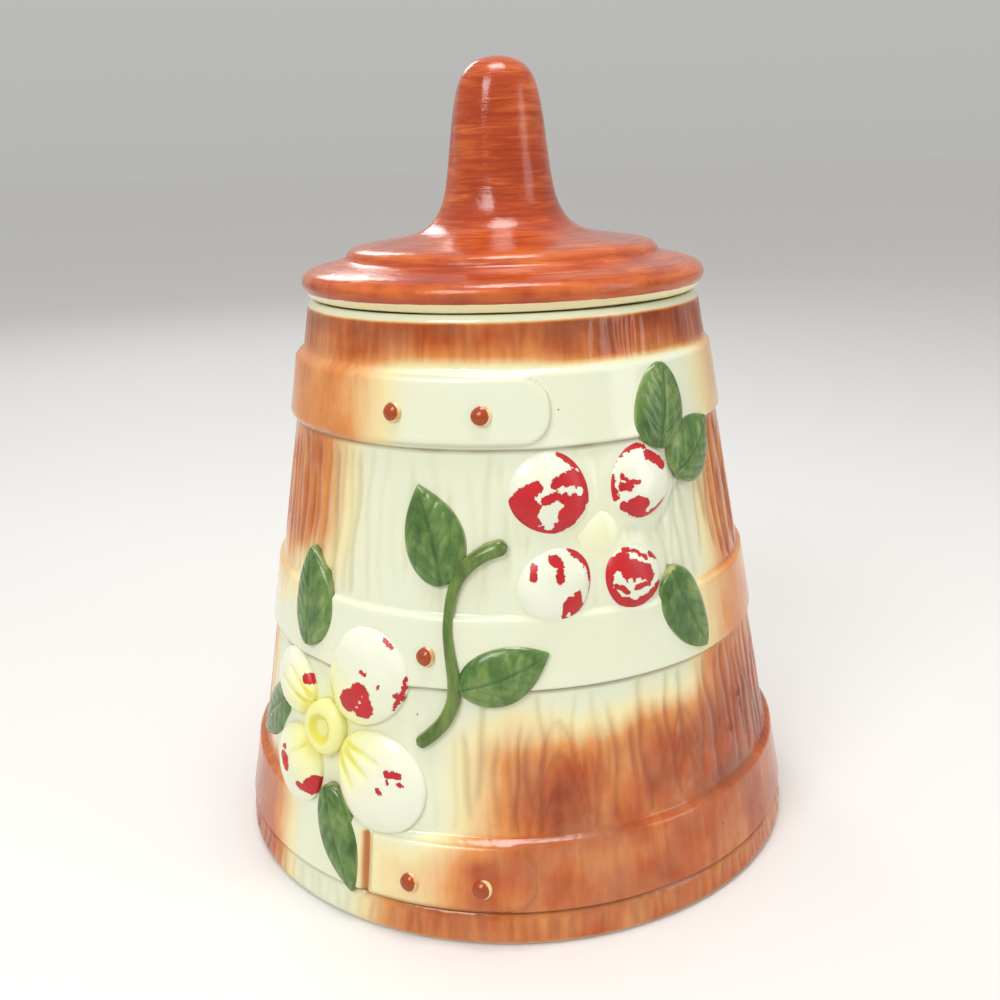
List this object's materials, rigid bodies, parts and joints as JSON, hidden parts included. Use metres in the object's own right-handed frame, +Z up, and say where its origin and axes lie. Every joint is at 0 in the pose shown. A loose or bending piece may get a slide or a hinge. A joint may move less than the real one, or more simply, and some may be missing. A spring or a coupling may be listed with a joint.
{
  "type": "biscuit jar",
  "caption": "Glazed pottery biscuit jar shaped as a small wooden churn, with moulded hoops, raised flower ornament and a lift-off lid with a tall knob.",
  "frame": {"origin": "middle of the foot, on the surface that the jar stands on", "axes": "+Z up through the lid's knob, -Y towards the decorated front, +X to the right of the front"},
  "size_m": [0.202, 0.2027, 0.2665],
  "materials": {
    "cream_glaze": "gloss glaze with airbrushed brown shading",
    "brown_glaze": "gloss red-brown glaze",
    "green_glaze": "brushed green under a gloss glaze",
    "petal_glaze": "cream glaze with worn red paint on top",
    "yellow_glaze": "pale yellow under a gloss glaze",
    "rivet_brown": "brown dots under a gloss glaze"
  },
  "bodies": {
    "jar": {"jar_body": "cream_glaze", "flower_stem": "green_glaze", "left_flower_cup": "yellow_glaze", "right_flower_button": "yellow_glaze", "hoop_rivets": "rivet_brown", "top_leaf_right": "green_glaze", "top_leaf_left": "green_glaze", "right_leaf": "green_glaze", "upper_leaf": "green_glaze", "middle_leaf": "green_glaze", "left_leaf": "green_glaze", "far_left_leaf": "green_glaze", "low_leaf": "green_glaze", "left_petal_upper_right": "petal_glaze", "left_petal_lower_right": "petal_glaze", "left_petal_lower_left": "petal_glaze", "left_petal_upper_left": "petal_glaze", "right_petal_upper_left": "petal_glaze", "right_petal_upper_right": "petal_glaze", "right_petal_lower_left": "petal_glaze", "right_petal_lower_right": "petal_glaze"},
    "lid": {"lid": "brown_glaze"}
  },
  "joints": [
    {"name": "lid_lift", "type": "slide", "parent": "jar", "child": "lid", "axis": [0, 0, 1], "range_m": [0, 0.15]}
  ]
}
